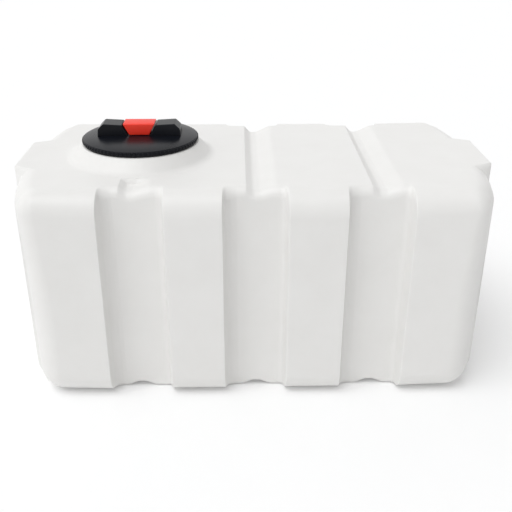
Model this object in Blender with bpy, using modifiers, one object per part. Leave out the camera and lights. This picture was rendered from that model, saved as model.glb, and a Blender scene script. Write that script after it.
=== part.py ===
"""A portable fresh water tank: a moulded polyethylene body with strap channels and a vented screw lid.

Metres, +Z up. The length runs along X with the lid towards -X, the front faces -Y and the base is Z = 0.
"""

import math

import bmesh
import bpy

# Body
TANK_LENGTH = 1.200  # over the end pads
BODY_LENGTH = 1.184  # over the bowed ends
TANK_DEPTH = 0.631
TANK_HEIGHT = 0.549
WALL = 0.006
EDGE_RADIUS = 0.058
END_TOP_RADIUS = 0.049
END_BASE_RADIUS = 0.066
END_BOW = 0.049  # how far the ends fall back from the middle to the corners
END_BOW_POWER = 2.4
END_PAD_WIDTH = 0.243
END_PAD_FLANK = 0.028
END_PAD_RADIUS = 0.005

# Strap channels down the front and back, and the grooves that join them over the top and under the base
CHANNEL_PITCH = 0.288
CHANNEL_MOUTH = 0.158
CHANNEL_FLOOR = 0.128
CHANNEL_DEPTH = 0.048
CHANNEL_RADIUS = 0.014
GROOVE_MOUTH = 0.068
GROOVE_FLOOR = 0.028
GROOVE_DEPTH = 0.015
BASE_GROOVE_DEPTH = 0.011

# Dome under the lid
LID_X = -0.2935
DOME_FOOT_RADIUS = 0.190
DOME_LAND_RADIUS = 0.150
DOME_HEIGHT = 0.0335
LAND_THICKNESS = 0.012
NECK_HOLE_RADIUS = 0.1336

# Collar
FIT_GAP = 0.0003
NECK_SEAL_THICKNESS = 0.0015
FLANGE_RADIUS = 0.1450
FLANGE_THICKNESS = 0.004
SPIGOT_RADIUS = 0.1330
SPIGOT_DEPTH = 0.027
THREAD_PITCH = 0.010
THREAD_TURNS = 1.25
THREAD_ROOT_RADIUS = 0.1290
THREAD_DEPTH = 0.0038
THREAD_HALF_BASE = 0.0020
THREAD_HALF_CREST = 0.0010
THREAD_OFFSET = 0.0042  # the lid's thread lies this far under the collar's
SCREW_COUNT = 8
SCREW_CIRCLE_RADIUS = 0.1404
SCREW_HEAD_RADIUS = 0.0040
SCREW_SHANK_RADIUS = 0.0020
SCREW_LENGTH = 0.016

# Lid
LID_RADIUS = 0.149
LID_RIM_HEIGHT = 0.0075
LID_PLATE = 0.004
LID_CROWN = 0.0065
LID_CROWN_POWER = 4
LID_CROWN_FLAT = 0.030
LID_RIM_WALL = 0.004
LID_RIM_LIFT = 0.0010
LID_RIBS = 84
LID_RIB_DEPTH = 0.0014
GASKET_INNER_RADIUS = 0.1297
GASKET_OUTER_RADIUS = 0.1352
GASKET_THICKNESS = 0.0025
PLUG_RADIUS = 0.1242
PLUG_WALL = 0.003
PLUG_DEPTH = 0.026

# Grip blocks on the lid and the vent cap between them
GRIP_LENGTH = 0.213
GRIP_TOP_LENGTH = 0.182
GRIP_WIDTH = 0.058
GRIP_TOP_WIDTH = 0.054
GRIP_HEIGHT = 0.0295  # over the crown
GRIP_SHOULDER = 0.55  # part of the height at which the ends begin to slope
GRIP_BEVEL = 0.005
GRIP_WALL = 0.006
CAP_WIDTH = 0.051
CAP_TOP_WIDTH = 0.082
CAP_DEPTH = 0.056
CAP_TOP_DEPTH = 0.052
CAP_BEVEL = 0.003
CAP_GAP = 0.003

# Vent
VENT_HOLE_RADIUS = 0.0090
VENT_SEAT_RADIUS = 0.0165
VENT_SEAT_DEPTH = 0.002
VENT_LIFT = 0.008
STEM_RADIUS = 0.0042
STEM_FIN_RADIUS = 0.0084
STEM_FIN_THICKNESS = 0.002
STEM_SPIGOT = 0.014
RETAINER_RADIUS = 0.0125
RETAINER_THICKNESS = 0.002
SCREEN_RADIUS = 0.0215
SCREEN_WALL = 0.0015
SCREEN_DEPTH = 0.018
SCREEN_SLOTS = 12
SCREEN_SLOT_WIDTH = 0.002

# Outlet in a pocket of the left end pad
OUTLET_HEIGHT = 0.085
POCKET_RADIUS = 0.040
POCKET_DEPTH = 0.020
BOSS_WALL = 0.007
BOSS_FLOOR = 0.022
BUSH_RADIUS = 0.0175
BUSH_COLLAR_RADIUS = 0.0195
BUSH_BORE_RADIUS = 0.0132
OUTLET_HEAD_RADIUS = 0.0172
OUTLET_HEAD_HEIGHT = 0.010
OUTLET_SHANK_RADIUS = 0.0128
OUTLET_SHANK_LENGTH = 0.0185
OUTLET_SEAL_THICKNESS = 0.002

# How finely round shapes are cut
WIDE_STEPS = 48
NECK_STEPS = 40
FINE_STEPS = 24
SMALL_STEPS = 12
THREAD_STEPS = 40
CHANNEL_KNOTS = (0.0, 0.3, 0.7, 1.0)
GROOVE_KNOTS = (0.0, 0.5, 1.0)
PAD_KNOTS = (0.0, 0.3, 0.7, 1.0)
ROUND_KNOTS = (1.0, 0.414, 0.0)

# Heights that follow from the above
LAND_Z = TANK_HEIGHT + DOME_HEIGHT
FLANGE_Z = LAND_Z + NECK_SEAL_THICKNESS + 2 * FIT_GAP
COLLAR_Z = FLANGE_Z + FLANGE_THICKNESS
GASKET_Z = COLLAR_Z + FIT_GAP
GASKET_SEAT_Z = GASKET_Z + GASKET_THICKNESS + FIT_GAP
RIM_Z = COLLAR_Z + LID_RIM_LIFT
LID_Z = RIM_Z + LID_RIM_HEIGHT
PLATE_Z = LID_Z - LID_PLATE
CROWN_Z = LID_Z + LID_CROWN
CEILING_Z = LID_Z - LID_PLATE / 2  # the lid's underside within its plug
CHANNEL_CENTRES = (-CHANNEL_PITCH, 0.0, CHANNEL_PITCH)


def clear_scene():
    for obj in list(bpy.data.objects):
        bpy.data.objects.remove(obj, do_unlink=True)


def new_collection(name, inside=None):
    collection = bpy.data.collections.new(name)
    (inside or bpy.context.scene.collection).children.link(collection)
    return collection


clear_scene()
parts = new_collection("fresh_water_tank")
cutters = new_collection("cutters")
screw_holes = new_collection("screw_holes", cutters)
shell_cuts = new_collection("shell_cuts", cutters)
shell_cuts.children.link(screw_holes)
lid_joins = new_collection("lid_joins", cutters)
lid_cuts = new_collection("lid_cuts", cutters)


def material(name, colour, roughness, metallic=0.0):
    made = bpy.data.materials.new(name)
    made.use_nodes = True
    shader = made.node_tree.nodes["Principled BSDF"]
    shader.inputs["Base Color"].default_value = (*colour, 1.0)
    shader.inputs["Roughness"].default_value = roughness
    shader.inputs["Metallic"].default_value = metallic
    return made


white_plastic = material("white_polyethylene", (0.80, 0.80, 0.78), 0.45)
black_plastic = material("black_polypropylene", (0.02, 0.021, 0.024), 0.40)
red_plastic = material("red_plastic", (0.72, 0.04, 0.025), 0.30)
pale_plastic = material("natural_acetal", (0.70, 0.69, 0.65), 0.40)
rubber = material("black_rubber", (0.015, 0.015, 0.015), 0.70)
steel = material("stainless_steel", (0.60, 0.60, 0.60), 0.35, 1.0)
brass = material("brass", (0.70, 0.52, 0.22), 0.35, 1.0)


def place(name, mesh, use, location=(0.0, 0.0, 0.0), rotation=(0.0, 0.0, 0.0)):
    """A part when its use is a material, a helper when it is one of the cutters' collections."""
    obj = bpy.data.objects.new(name, mesh)
    obj.location = location
    obj.rotation_euler = rotation
    if isinstance(use, bpy.types.Material):
        parts.objects.link(obj)
        mesh.materials.append(use)
    else:
        use.objects.link(obj)
        obj.hide_render = True
        obj.display_type = "WIRE"
    return obj


def mesh_from(name, bm):
    bmesh.ops.recalc_face_normals(bm, faces=bm.faces[:])
    mesh = bpy.data.meshes.new(name)
    bm.to_mesh(mesh)
    bm.free()
    return mesh


def combine(obj, operation, other):
    """Joins or cuts with one helper, or with all of a collection at once."""
    modifier = obj.modifiers.new(other.name, "BOOLEAN")
    modifier.operation = operation
    modifier.solver = "EXACT"
    if isinstance(other, bpy.types.Collection):
        modifier.operand_type = "COLLECTION"
        modifier.collection = other
    else:
        modifier.object = other


def turned(name, profile, steps, use, location, rotation=(0.0, 0.0, 0.0), ring=True):
    """A profile of (radius, height), outside running downwards, turned round the local Z axis."""
    mesh = bpy.data.meshes.new(name)
    edges = [(i, i + 1) for i in range(len(profile) - 1)]
    if ring:
        edges.append((len(profile) - 1, 0))
    mesh.from_pydata([(radius, 0.0, height) for radius, height in profile], edges, [])
    obj = place(name, mesh, use, location, rotation)
    screw = obj.modifiers.new("turn", "SCREW")
    screw.axis = "Z"
    screw.angle = 2 * math.pi
    screw.steps = steps
    screw.render_steps = steps
    screw.use_merge_vertices = True
    screw.merge_threshold = 0.00001
    screw.use_smooth_shade = False
    return obj


def rod(name, radius, bottom, top, steps, use, location, rotation=(0.0, 0.0, 0.0)):
    profile = [(0.0, top), (radius, top), (radius, bottom), (0.0, bottom)]
    return turned(name, profile, steps, use, location, rotation, ring=False)


def prism(name, outline, bottom, top, use, location, rotation=(0.0, 0.0, 0.0)):
    """A flat outline of (x, y) points, raised from bottom to top."""
    bm = bmesh.new()
    face = bm.faces.new([bm.verts.new((x, y, bottom)) for x, y in outline])
    raised = bmesh.ops.extrude_face_region(bm, geom=[face])
    moved = [item for item in raised["geom"] if isinstance(item, bmesh.types.BMVert)]
    bmesh.ops.translate(bm, verts=moved, vec=(0.0, 0.0, top - bottom))
    return place(name, mesh_from(name, bm), use, location, rotation)


def star(fins, core, reach, thickness):
    """The outline of fins standing out from a core, counter-clockwise."""
    outline = []
    for fin in range(fins):
        angle = 2 * math.pi * fin / fins
        across = (-math.sin(angle) * thickness / 2, math.cos(angle) * thickness / 2)
        tip = (math.cos(angle) * reach, math.sin(angle) * reach)
        outline.append((tip[0] - across[0], tip[1] - across[1]))
        outline.append((tip[0] + across[0], tip[1] + across[1]))
        between = angle + math.pi / fins
        outline.append((math.cos(between) * core, math.sin(between) * core))
    return outline


def thread(name, wall_radius, crest_radius, start_z, use, location):
    """A ridge that climbs a helix, its foot sunk in the wall."""
    sink = math.copysign(0.0012, wall_radius - crest_radius)
    section = (
        (wall_radius + sink, -THREAD_HALF_BASE),
        (crest_radius, -THREAD_HALF_CREST),
        (crest_radius, THREAD_HALF_CREST),
        (wall_radius + sink, THREAD_HALF_BASE),
    )
    count = round(THREAD_STEPS * THREAD_TURNS)
    bm = bmesh.new()
    rings = []
    for step in range(count + 1):
        turn = THREAD_TURNS * step / count
        c = math.cos(2 * math.pi * turn)
        s = math.sin(2 * math.pi * turn)
        z = start_z + THREAD_PITCH * turn
        rings.append([bm.verts.new((r * c, r * s, z + dz)) for r, dz in section])
    for low, high in zip(rings, rings[1:]):
        for i in range(4):
            bm.faces.new((low[i], low[(i + 1) % 4], high[(i + 1) % 4], high[i]))
    bm.faces.new(rings[0])
    bm.faces.new(rings[-1])
    return place(name, mesh_from(name, bm), use, location)


def ease(value):
    value = min(max(value, 0.0), 1.0)
    return value * value * (3.0 - 2.0 * value)


class Skin:
    """The tank's surface, or with an inset the surface of its hollow."""

    def __init__(self, inset):
        self.inset = inset
        self.channel_outer = CHANNEL_MOUTH / 2 + inset
        self.channel_inner = CHANNEL_FLOOR / 2 + inset
        self.groove_outer = GROOVE_MOUTH / 2 + inset / 2
        self.groove_inner = GROOVE_FLOOR / 2 + inset / 2
        self.pad_outer = END_PAD_WIDTH / 2 - inset
        self.pad_inner = END_PAD_WIDTH / 2 - END_PAD_FLANK - inset

    def channel(self, x):
        away = min(abs(x - centre) for centre in CHANNEL_CENTRES)
        return ease((self.channel_outer - away) / (self.channel_outer - self.channel_inner))

    def groove(self, x):
        away = min(abs(x - centre) for centre in CHANNEL_CENTRES)
        return ease((self.groove_outer - away) / (self.groove_outer - self.groove_inner))

    def pad(self, y):
        return ease((self.pad_outer - abs(y)) / (self.pad_outer - self.pad_inner))

    def across(self, y):
        """How far y is from the middle to the rounded corner, as a share."""
        return min(abs(y), TANK_DEPTH / 2 - EDGE_RADIUS / 2) / (TANK_DEPTH / 2)

    def x_lines(self):
        lines = []
        for centre in CHANNEL_CENTRES:
            for outer, inner, knots in (
                (self.channel_outer, self.channel_inner, CHANNEL_KNOTS),
                (self.groove_outer, self.groove_inner, GROOVE_KNOTS),
            ):
                for knot in knots:
                    away = outer + (inner - outer) * knot
                    lines += [centre - away, centre + away]
        return self.with_rounds(lines)

    def y_lines(self):
        lines = []
        for knot in PAD_KNOTS:
            away = self.pad_outer + (self.pad_inner - self.pad_outer) * knot
            lines += [-away, away]
        for away in (DOME_FOOT_RADIUS + 0.004, DOME_FOOT_RADIUS - 0.016):
            lines += [-away, away]
        return self.with_rounds(lines)

    def with_rounds(self, lines):
        """Lines as (side, value): side 0 is a fixed place, side -1 or 1 a share of the rounded edge there."""
        low = [(-1, knot) for knot in ROUND_KNOTS]
        high = [(1, knot) for knot in reversed(ROUND_KNOTS)]
        return low + [(0, line) for line in sorted(lines)] + high

    def point(self, x_line, y_line, z_line):
        x = x_line[1] if x_line[0] == 0 else x_line[0] * BODY_LENGTH / 2
        y = y_line[1] if y_line[0] == 0 else y_line[0] * TANK_DEPTH / 2
        channel = self.channel(x) if x_line[0] == 0 else 0.0
        groove = self.groove(x) if x_line[0] == 0 else 0.0
        pad = self.pad(y) if y_line[0] == 0 else 0.0
        over_dome = y_line[0] == 0 and math.hypot(x - LID_X, y) < DOME_FOOT_RADIUS
        bowed = BODY_LENGTH / 2 - END_BOW * self.across(y) ** END_BOW_POWER
        half_length = bowed + (TANK_LENGTH / 2 - bowed) * pad - self.inset
        half_depth = TANK_DEPTH / 2 - CHANNEL_DEPTH * channel - self.inset
        top = TANK_HEIGHT - GROOVE_DEPTH * (0.0 if over_dome else groove) - self.inset
        bottom = BASE_GROOVE_DEPTH * groove + self.inset
        edge = EDGE_RADIUS
        if x_line[0] != 0:
            edge = END_TOP_RADIUS if z_line[0] > 0 else END_BASE_RADIUS
        radius = edge + (CHANNEL_RADIUS - edge) * channel
        radius = radius + (END_PAD_RADIUS - radius) * pad
        radius = max(radius - self.inset, 0.004)
        start = []
        core = []
        for line, low, high in (
            (x_line, -half_length, half_length),
            (y_line, -half_depth, half_depth),
            (z_line, bottom, top),
        ):
            if line[0] == 0:
                value = line[1]
            elif line[0] < 0:
                value = low + radius - radius * line[1]
            else:
                value = high - radius + radius * line[1]
            start.append(value)
            core.append(min(max(value, low + radius), high - radius))
        offset = [a - b for a, b in zip(start, core)]
        length = math.sqrt(sum(value * value for value in offset))
        return tuple(b + radius * value / length for b, value in zip(core, offset))

    def mesh(self, name):
        """A cube cut along the lines, each of its points then moved to the surface."""
        axes = (self.x_lines(), self.y_lines(), self.with_rounds([]))
        counts = [len(lines) - 1 for lines in axes]
        bm = bmesh.new()
        bmesh.ops.create_cube(bm, size=1.0)
        bmesh.ops.translate(bm, verts=bm.verts[:], vec=(0.5, 0.5, 0.5))
        bmesh.ops.scale(bm, verts=bm.verts[:], vec=counts)
        for axis, count in enumerate(counts):
            along = [
                edge
                for edge in bm.edges
                if abs(edge.verts[0].co[axis] - edge.verts[1].co[axis]) > 0.5
            ]
            bmesh.ops.subdivide_edges(bm, edges=along, cuts=count - 1, use_grid_fill=True)
        for vert in bm.verts:
            lines = [axes[axis][round(vert.co[axis])] for axis in range(3)]
            vert.co = self.point(*lines)
        return mesh_from(name, bm)


def round_pattern(count, radius):
    for i in range(count):
        angle = 2 * math.pi * (i + 0.5) / count
        yield radius * math.cos(angle), radius * math.sin(angle)


lid_at = (LID_X, 0.0, COLLAR_Z)


def from_collar(profile):
    """Heights in the tank's frame, made heights over the collar's top face."""
    return [(radius, height - COLLAR_Z) for radius, height in profile]


# The moulded body: outer surface and dome, less the hollow, with the outlet's boss and pocket
shell = place("tank_shell", Skin(0.0).mesh("tank_shell"), white_plastic)
dome = turned(
    "dome_outside",
    from_collar(
        [
            (0.0, LAND_Z),
            (DOME_LAND_RADIUS - 0.002, LAND_Z),
            (DOME_LAND_RADIUS + 0.002, LAND_Z - 0.002),
            (DOME_FOOT_RADIUS - 0.012, TANK_HEIGHT + 0.0045),
            (DOME_FOOT_RADIUS, TANK_HEIGHT + 0.0006),
            (DOME_FOOT_RADIUS, TANK_HEIGHT - 0.004),
            (0.0, TANK_HEIGHT - 0.004),
        ]
    ),
    WIDE_STEPS,
    cutters,
    lid_at,
    ring=False,
)
hollow = place("hollow", Skin(WALL).mesh("hollow"), shell_cuts)
turned(
    "dome_inside",
    from_collar(
        [
            (0.0, LAND_Z - LAND_THICKNESS),
            (DOME_LAND_RADIUS - 0.004, LAND_Z - LAND_THICKNESS),
            (DOME_FOOT_RADIUS - 0.018, TANK_HEIGHT - WALL - 0.003),
            (0.0, TANK_HEIGHT - WALL - 0.003),
        ]
    ),
    WIDE_STEPS,
    shell_cuts,
    lid_at,
    ring=False,
)
rod(
    "neck_hole",
    NECK_HOLE_RADIUS,
    TANK_HEIGHT - COLLAR_Z,
    LAND_Z + 0.010 - COLLAR_Z,
    WIDE_STEPS,
    shell_cuts,
    lid_at,
)

outlet_at = (-TANK_LENGTH / 2, 0.0, OUTLET_HEIGHT)
outwards = (0.0, -math.pi / 2, 0.0)
bush_face = -POCKET_DEPTH
boss_back = -POCKET_DEPTH - BOSS_FLOOR
boss = rod(
    "outlet_boss", POCKET_RADIUS + BOSS_WALL, boss_back, -WALL / 3, NECK_STEPS, cutters, outlet_at, outwards
)
rod("outlet_pocket", POCKET_RADIUS, bush_face, 0.010, NECK_STEPS, shell_cuts, outlet_at, outwards)


def bush_outline(gap, reach):
    middle = bush_face - BOSS_FLOOR / 2
    return [
        (BUSH_RADIUS + gap, bush_face + reach),
        (BUSH_RADIUS + gap, middle + 0.0035 + gap),
        (BUSH_COLLAR_RADIUS + gap, middle + 0.0025 + gap),
        (BUSH_COLLAR_RADIUS + gap, middle - 0.0025 - gap),
        (BUSH_RADIUS + gap, middle - 0.0035 - gap),
        (BUSH_RADIUS + gap, boss_back - reach),
    ]


turned(
    "bush_hole",
    [(0.0, bush_face + 0.004)] + bush_outline(FIT_GAP, 0.004) + [(0.0, boss_back - 0.004)],
    FINE_STEPS,
    shell_cuts,
    outlet_at,
    outwards,
    ring=False,
)
combine(hollow, "DIFFERENCE", boss)
combine(shell, "UNION", dome)
combine(shell, "DIFFERENCE", shell_cuts)

# Brass bush, its seal and the plug
turned(
    "outlet_bush",
    [(BUSH_BORE_RADIUS, bush_face)] + bush_outline(0.0, 0.0) + [(BUSH_BORE_RADIUS, boss_back)],
    FINE_STEPS,
    brass,
    outlet_at,
    outwards,
)
seal_back = bush_face + FIT_GAP
seal_front = seal_back + OUTLET_SEAL_THICKNESS
turned(
    "outlet_plug_seal",
    [
        (BUSH_BORE_RADIUS + FIT_GAP, seal_front),
        (OUTLET_HEAD_RADIUS - 0.002, seal_front),
        (OUTLET_HEAD_RADIUS - 0.002, seal_back),
        (BUSH_BORE_RADIUS + FIT_GAP, seal_back),
    ],
    FINE_STEPS,
    rubber,
    outlet_at,
    outwards,
)
head_back = seal_front + FIT_GAP
corners = [
    (OUTLET_HEAD_RADIUS * math.cos(math.pi * i / 3), OUTLET_HEAD_RADIUS * math.sin(math.pi * i / 3))
    for i in range(6)
]
outlet_plug = prism(
    "outlet_plug", corners, head_back, head_back + OUTLET_HEAD_HEIGHT, black_plastic, outlet_at, outwards
)
outlet_shank = rod(
    "outlet_shank",
    OUTLET_SHANK_RADIUS,
    head_back - OUTLET_SHANK_LENGTH,
    head_back + OUTLET_HEAD_HEIGHT / 2,
    FINE_STEPS,
    cutters,
    outlet_at,
    outwards,
)
combine(outlet_plug, "UNION", outlet_shank)

# Screws through the collar's flange and its seal into the dome
head_top = -FIT_GAP
head_depth = SCREW_HEAD_RADIUS - SCREW_SHANK_RADIUS


def screw_outline(gap, rise):
    return [
        (0.0, head_top + rise),
        (SCREW_HEAD_RADIUS + gap, head_top + rise),
        (SCREW_HEAD_RADIUS + gap, head_top - 0.0006),
        (SCREW_SHANK_RADIUS + gap, head_top - 0.0006 - head_depth),
        (SCREW_SHANK_RADIUS + gap, head_top - SCREW_LENGTH + 0.002 - gap),
        (0.0, head_top - SCREW_LENGTH - gap),
    ]


neck_ring = turned(
    "neck_ring",
    from_collar(
        [
            (THREAD_ROOT_RADIUS, COLLAR_Z),
            (FLANGE_RADIUS - 0.0012, COLLAR_Z),
            (FLANGE_RADIUS, COLLAR_Z - 0.0012),
            (FLANGE_RADIUS, FLANGE_Z),
            (SPIGOT_RADIUS, FLANGE_Z),
            (SPIGOT_RADIUS, COLLAR_Z - SPIGOT_DEPTH),
            (THREAD_ROOT_RADIUS, COLLAR_Z - SPIGOT_DEPTH),
        ]
    ),
    WIDE_STEPS,
    black_plastic,
    lid_at,
)
collar_thread_start = -SPIGOT_DEPTH + THREAD_OFFSET + 2 * THREAD_HALF_BASE
collar_thread = thread(
    "collar_thread", THREAD_ROOT_RADIUS, THREAD_ROOT_RADIUS - THREAD_DEPTH, collar_thread_start, cutters, lid_at
)
combine(neck_ring, "UNION", collar_thread)
neck_seal = turned(
    "neck_seal",
    from_collar(
        [
            (NECK_HOLE_RADIUS, FLANGE_Z - FIT_GAP),
            (FLANGE_RADIUS, FLANGE_Z - FIT_GAP),
            (FLANGE_RADIUS, LAND_Z + FIT_GAP),
            (NECK_HOLE_RADIUS, LAND_Z + FIT_GAP),
        ]
    ),
    WIDE_STEPS,
    rubber,
    lid_at,
)
for number, (x, y) in enumerate(round_pattern(SCREW_COUNT, SCREW_CIRCLE_RADIUS), 1):
    at = (LID_X + x, y, COLLAR_Z)
    turned(f"neck_screw_{number}", screw_outline(0.0, 0.0), SMALL_STEPS, steel, at, ring=False)
    turned(f"screw_hole_{number}", screw_outline(FIT_GAP, 0.004), SMALL_STEPS, screw_holes, at, ring=False)
combine(neck_ring, "DIFFERENCE", screw_holes)
combine(neck_seal, "DIFFERENCE", screw_holes)

# Lid: turned disc with rim, gasket seat and plug, then ribs, thread, grip blocks and their hollows
crown_points = []
for share in (0.0, 0.45, 0.65, 0.8, 0.91, 1.0):
    radius = LID_CROWN_FLAT + (LID_RADIUS - 0.004 - LID_CROWN_FLAT) * share
    crown_points.append((radius, LID_Z + LID_CROWN * (1.0 - share ** LID_CROWN_POWER)))
lid = turned(
    "lid_cover",
    from_collar(
        [
            (VENT_HOLE_RADIUS, CROWN_Z - VENT_SEAT_DEPTH),
            (VENT_SEAT_RADIUS, CROWN_Z - VENT_SEAT_DEPTH),
            (VENT_SEAT_RADIUS, CROWN_Z),
            *crown_points,
            (LID_RADIUS - 0.0016, LID_Z - 0.0014),
            (LID_RADIUS - 0.0016, RIM_Z),
            (LID_RADIUS - LID_RIM_WALL, RIM_Z),
            (LID_RADIUS - LID_RIM_WALL, PLATE_Z),
            (GASKET_OUTER_RADIUS + 0.001, PLATE_Z),
            (GASKET_OUTER_RADIUS + 0.001, GASKET_SEAT_Z),
            (PLUG_RADIUS, GASKET_SEAT_Z),
            (PLUG_RADIUS, COLLAR_Z - PLUG_DEPTH),
            (PLUG_RADIUS - PLUG_WALL, COLLAR_Z - PLUG_DEPTH),
            (PLUG_RADIUS - PLUG_WALL, CEILING_Z),
            (SCREEN_RADIUS + 0.003, CEILING_Z),
            (SCREEN_RADIUS + 0.003, CEILING_Z - 0.006),
            (SCREEN_RADIUS + FIT_GAP, CEILING_Z - 0.006),
            (SCREEN_RADIUS + FIT_GAP, CEILING_Z),
            (VENT_HOLE_RADIUS, CEILING_Z),
        ]
    ),
    WIDE_STEPS,
    black_plastic,
    lid_at,
)
rib_outline = []
for rib in range(LID_RIBS):
    for share, radius in ((0.0, LID_RADIUS), (0.5, LID_RADIUS), (0.62, LID_RADIUS - LID_RIB_DEPTH),
                          (0.88, LID_RADIUS - LID_RIB_DEPTH)):
        angle = 2 * math.pi * (rib + share) / LID_RIBS
        rib_outline.append((radius * math.cos(angle), radius * math.sin(angle)))
ribbed_rim = prism(
    "ribbed_rim", rib_outline, RIM_Z + 0.0008 - COLLAR_Z, LID_Z - 0.0022 - COLLAR_Z, lid_joins, lid_at
)
rim_bore = rod(
    "rim_bore", LID_RADIUS - LID_RIM_WALL + 0.0012, -0.02, LID_Z + 0.02 - COLLAR_Z, WIDE_STEPS, cutters, lid_at
)
combine(ribbed_rim, "DIFFERENCE", rim_bore)
thread(
    "lid_thread",
    PLUG_RADIUS,
    PLUG_RADIUS + THREAD_DEPTH,
    collar_thread_start - THREAD_OFFSET,
    lid_joins,
    lid_at,
)


def tapered(name, levels, bevel, use, location):
    """A block through levels of (height, half length, half width), every edge but those of its foot rounded."""
    bm = bmesh.new()
    rings = []
    for height, half_x, half_y in levels:
        rings.append(
            [
                bm.verts.new((sx * half_x, sy * half_y, height))
                for sx, sy in ((-1, -1), (1, -1), (1, 1), (-1, 1))
            ]
        )
    bm.faces.new(rings[0])
    for low, high in zip(rings, rings[1:]):
        for i in range(4):
            bm.faces.new((low[i], low[(i + 1) % 4], high[(i + 1) % 4], high[i]))
    bm.faces.new(rings[-1])
    bmesh.ops.recalc_face_normals(bm, faces=bm.faces[:])
    foot = set(rings[0])
    edges = [edge for edge in bm.edges if not (edge.verts[0] in foot and edge.verts[1] in foot)]
    bmesh.ops.bevel(bm, geom=edges, offset=bevel, segments=2, profile=0.5, affect="EDGES")
    return place(name, mesh_from(name, bm), use, location)


lid_top = CROWN_Z - COLLAR_Z
grip_foot = LID_Z - LID_PLATE / 4 - COLLAR_Z
grip = tapered(
    "grip_blocks",
    (
        (grip_foot, GRIP_LENGTH / 2, GRIP_WIDTH / 2),
        (lid_top + GRIP_HEIGHT * GRIP_SHOULDER, GRIP_LENGTH / 2 - 0.002, GRIP_WIDTH / 2 - 0.001),
        (lid_top + GRIP_HEIGHT, GRIP_TOP_LENGTH / 2, GRIP_TOP_WIDTH / 2),
    ),
    GRIP_BEVEL,
    lid_joins,
    lid_at,
)
slope = (CAP_TOP_WIDTH - CAP_WIDTH) / 2 / GRIP_HEIGHT


def keystone_half(height):
    return CAP_WIDTH / 2 + CAP_GAP + slope * (height - lid_top)


gap_low = lid_top - 0.010
gap_high = lid_top + GRIP_HEIGHT + 0.010
grip_gap = tapered(
    "grip_gap",
    ((gap_low, keystone_half(gap_low), GRIP_WIDTH), (gap_high, keystone_half(gap_high), GRIP_WIDTH)),
    0.0001,
    cutters,
    lid_at,
)
combine(grip, "DIFFERENCE", grip_gap)
combine(lid, "UNION", lid_joins)
hollow_near = keystone_half(lid_top + GRIP_HEIGHT) + GRIP_WALL
hollow_far = GRIP_TOP_LENGTH / 2 - GRIP_WALL
for side in (-1, 1):
    half_y = GRIP_TOP_WIDTH / 2 - GRIP_WALL
    outline = [
        (side * hollow_near, -half_y),
        (side * hollow_far, -half_y),
        (side * hollow_far, half_y),
        (side * hollow_near, half_y),
    ]
    prism(
        f"grip_hollow_{'left' if side < 0 else 'right'}",
        outline,
        CEILING_Z - 0.004 - COLLAR_Z,
        lid_top + GRIP_HEIGHT - GRIP_WALL,
        lid_cuts,
        lid_at,
    )
combine(lid, "DIFFERENCE", lid_cuts)

turned(
    "lid_gasket",
    from_collar(
        [
            (GASKET_INNER_RADIUS, GASKET_Z + GASKET_THICKNESS),
            (GASKET_OUTER_RADIUS, GASKET_Z + GASKET_THICKNESS),
            (GASKET_OUTER_RADIUS, GASKET_Z),
            (GASKET_INNER_RADIUS, GASKET_Z),
        ]
    ),
    WIDE_STEPS,
    rubber,
    lid_at,
)

# Vent: cap, stem with guide fins, seal, stop clip, and the screen under the lid
cap_foot = lid_top + 0.0005
cap = tapered(
    "vent_cap",
    (
        (cap_foot, CAP_WIDTH / 2, CAP_DEPTH / 2),
        (lid_top + GRIP_HEIGHT, CAP_TOP_WIDTH / 2, CAP_TOP_DEPTH / 2),
    ),
    CAP_BEVEL,
    red_plastic,
    lid_at,
)
stem_socket = rod(
    "stem_socket",
    STEM_RADIUS + FIT_GAP,
    cap_foot - 0.004,
    cap_foot + STEM_SPIGOT + FIT_GAP,
    SMALL_STEPS,
    cutters,
    lid_at,
)
combine(cap, "DIFFERENCE", stem_socket)
clip_top = CEILING_Z - COLLAR_Z - VENT_LIFT - FIT_GAP
stem = prism(
    "vent_stem",
    star(3, STEM_RADIUS - 0.0008, STEM_FIN_RADIUS, STEM_FIN_THICKNESS),
    clip_top + 0.0008,
    lid_top - FIT_GAP,
    pale_plastic,
    lid_at,
)
stem_rod = rod(
    "stem_rod",
    STEM_RADIUS,
    clip_top - RETAINER_THICKNESS - 0.002,
    cap_foot + STEM_SPIGOT,
    SMALL_STEPS,
    cutters,
    lid_at,
)
combine(stem, "UNION", stem_rod)
turned(
    "vent_seal",
    [
        (VENT_HOLE_RADIUS + 0.0008, lid_top - FIT_GAP),
        (VENT_SEAT_RADIUS - 0.0010, lid_top - FIT_GAP),
        (VENT_SEAT_RADIUS - 0.0010, lid_top - VENT_SEAT_DEPTH + FIT_GAP),
        (VENT_HOLE_RADIUS + 0.0008, lid_top - VENT_SEAT_DEPTH + FIT_GAP),
    ],
    FINE_STEPS,
    rubber,
    lid_at,
)
turned(
    "vent_retainer",
    [
        (STEM_RADIUS + FIT_GAP, clip_top),
        (RETAINER_RADIUS, clip_top),
        (RETAINER_RADIUS, clip_top - RETAINER_THICKNESS),
        (STEM_RADIUS + FIT_GAP, clip_top - RETAINER_THICKNESS),
    ],
    FINE_STEPS,
    pale_plastic,
    lid_at,
)
screen_top = CEILING_Z - COLLAR_Z - FIT_GAP
screen_low = screen_top - SCREEN_DEPTH
screen = turned(
    "vent_screen",
    [
        (0.0, screen_low + SCREEN_WALL),
        (SCREEN_RADIUS - SCREEN_WALL, screen_low + SCREEN_WALL),
        (SCREEN_RADIUS - SCREEN_WALL, screen_top),
        (SCREEN_RADIUS, screen_top),
        (SCREEN_RADIUS, screen_low),
        (0.0, screen_low),
    ],
    FINE_STEPS,
    pale_plastic,
    lid_at,
    ring=False,
)
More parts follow.
